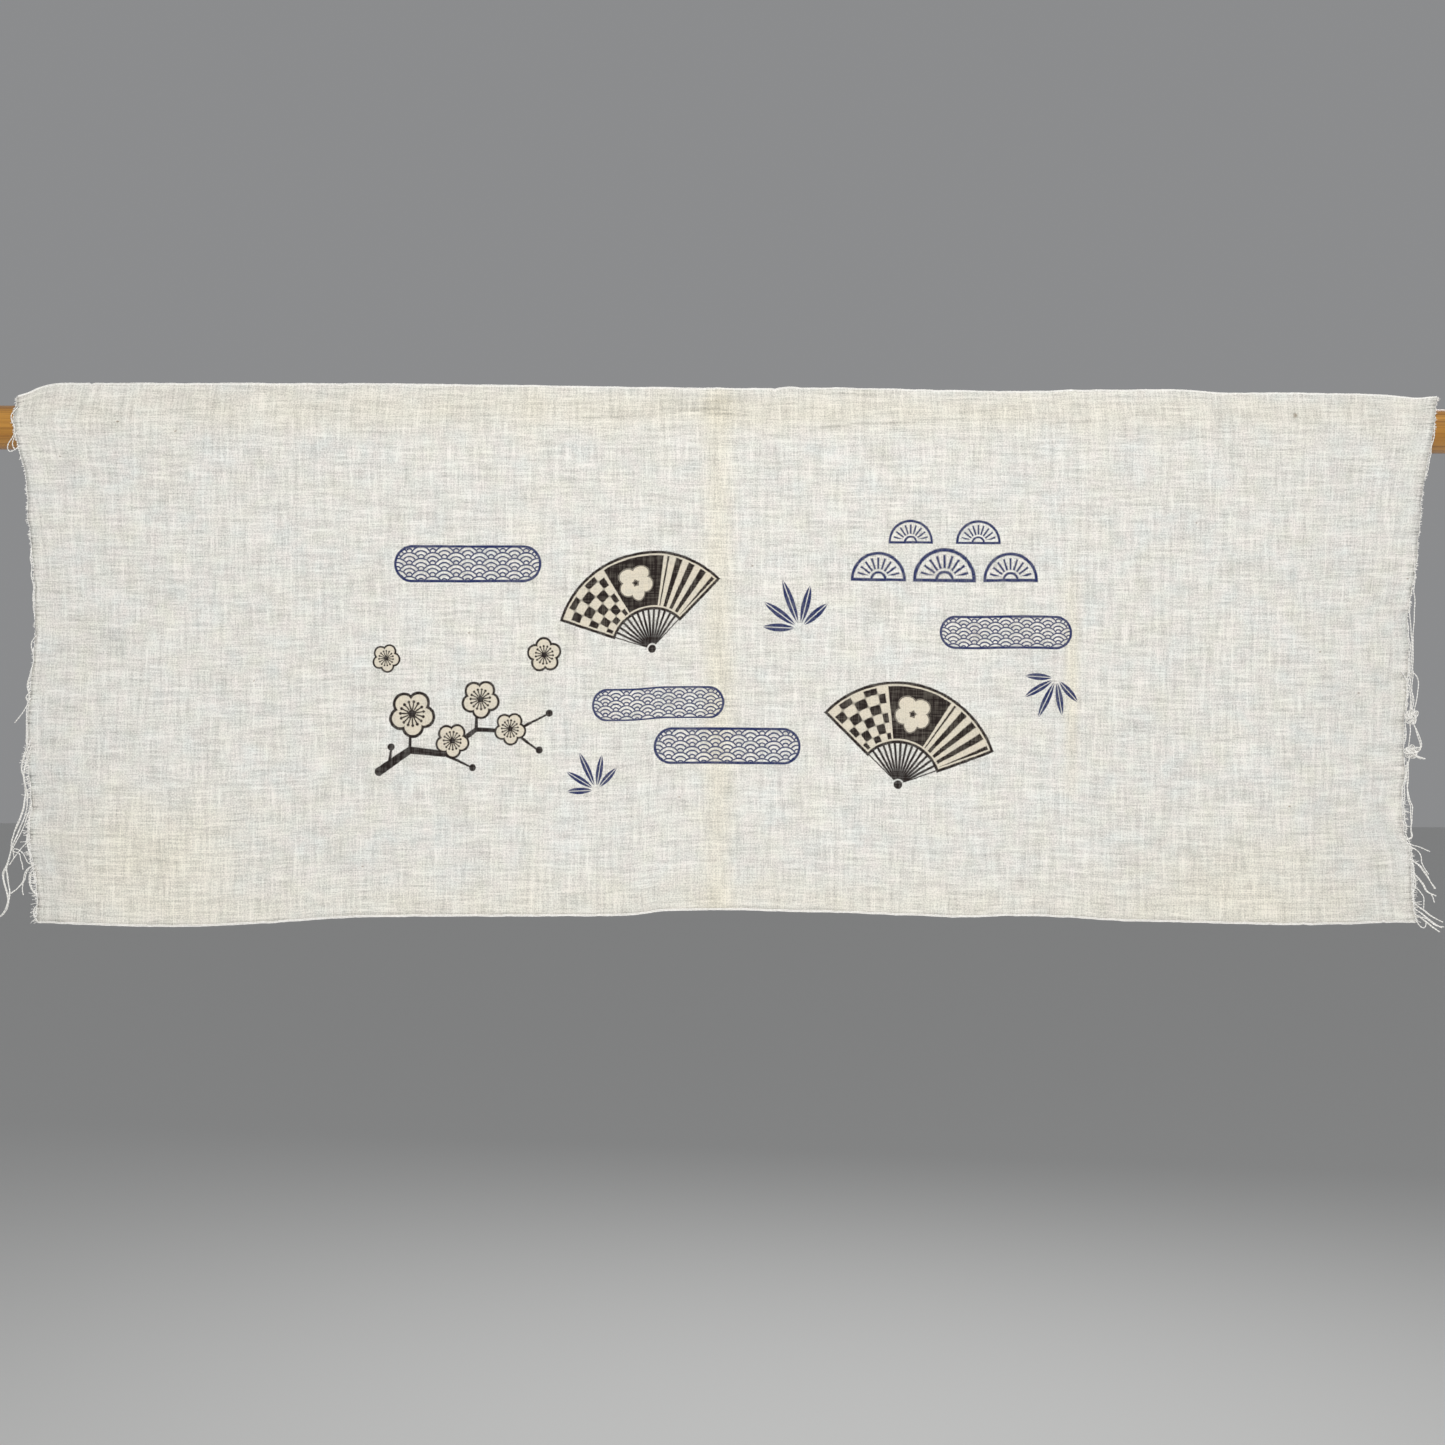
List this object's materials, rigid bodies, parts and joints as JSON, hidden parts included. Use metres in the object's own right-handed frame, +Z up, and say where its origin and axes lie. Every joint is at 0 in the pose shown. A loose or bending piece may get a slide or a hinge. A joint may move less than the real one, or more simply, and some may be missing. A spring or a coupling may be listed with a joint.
{
  "type": "tenugui towel on a rod",
  "caption": "Thin printed cotton hand cloth hung flat against a plain round wooden rod, with selvages along its long edges and raw, frayed ends.",
  "frame": {"origin": "on the rod's axis, halfway along it", "axes": "+X along the rod, to the right as the cloth is seen from its front; -Y towards the viewer of the cloth's front; +Z up"},
  "size_m": [1, 0.0338, 0.3483],
  "materials": {
    "cotton": "unbleached plain weave, matt",
    "loose_thread": "single cotton yarns, matt",
    "rod_wood": "honey-coloured, satin"
  },
  "bodies": {
    "root": {"towel": "cotton", "left_fray": "loose_thread", "right_fray": "loose_thread", "rod": "rod_wood"}
  },
  "joints": []
}
